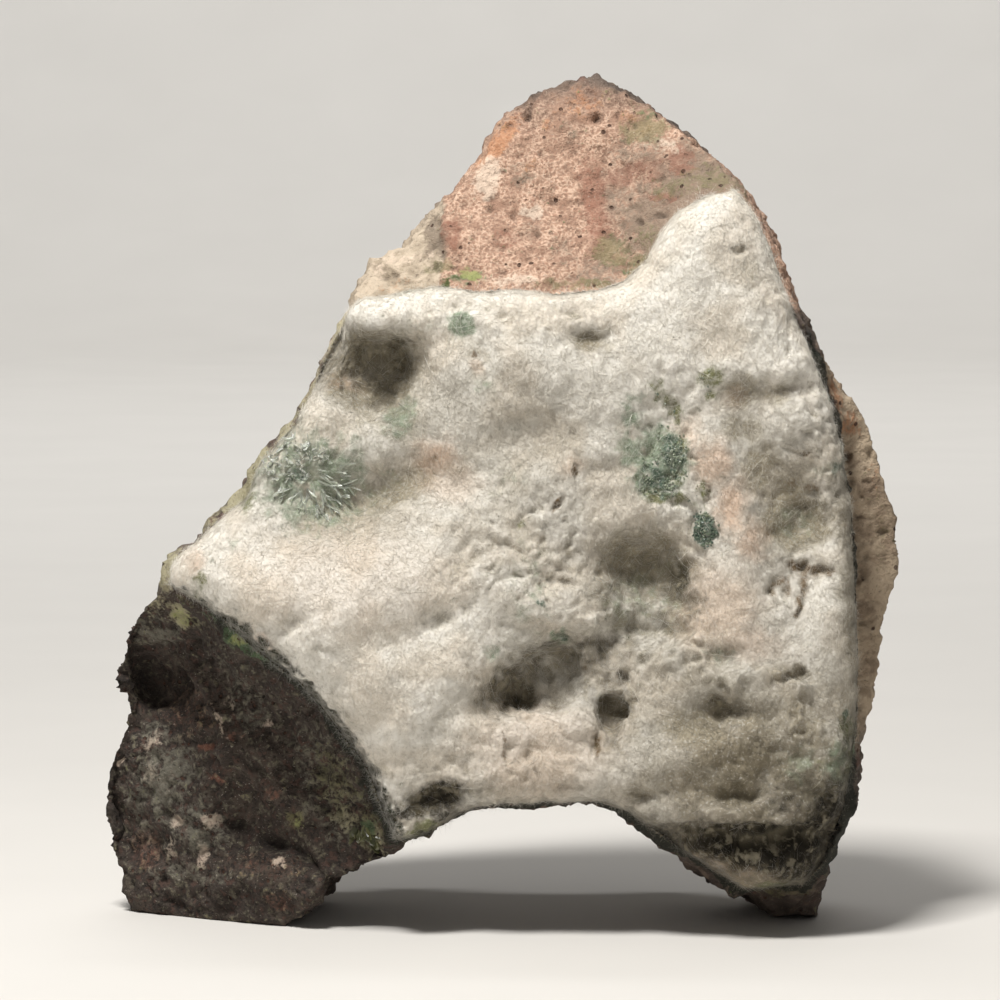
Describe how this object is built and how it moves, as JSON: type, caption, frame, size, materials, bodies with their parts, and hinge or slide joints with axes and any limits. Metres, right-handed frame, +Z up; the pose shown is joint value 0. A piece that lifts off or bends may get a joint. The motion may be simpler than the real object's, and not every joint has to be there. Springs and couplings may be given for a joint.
{
  "type": "mordenite specimen",
  "caption": "Upright mineral specimen: white mordenite felt and green crystals on the face of a broken basalt block with an arch between two feet.",
  "frame": {"origin": "middle of the specimen's bounding box, on the surface that its two feet stand on", "axes": "+Z up, -Y out of the face that carries the felt, +X to the right for someone who looks at that face"},
  "size_m": [0.1028, 0.0526, 0.109],
  "materials": {
    "basalt": "dull, finely granular broken rock, pink on its weathered face and dark brown below",
    "mordenite_felt": "soft matt felt of white fibres",
    "green_glassy_blades": "glassy, pale grey green, translucent",
    "green_druse": "sparkling fine crystal crust, grey green to teal",
    "yellow_green_blades": "glassy, yellow green"
  },
  "bodies": {
    "root": {"basalt_matrix": "basalt", "mordenite_mat": "mordenite_felt", "green_crystal_spray": "green_glassy_blades", "green_crystal_druse": "green_druse", "notch_blades": "yellow_green_blades"}
  },
  "joints": []
}
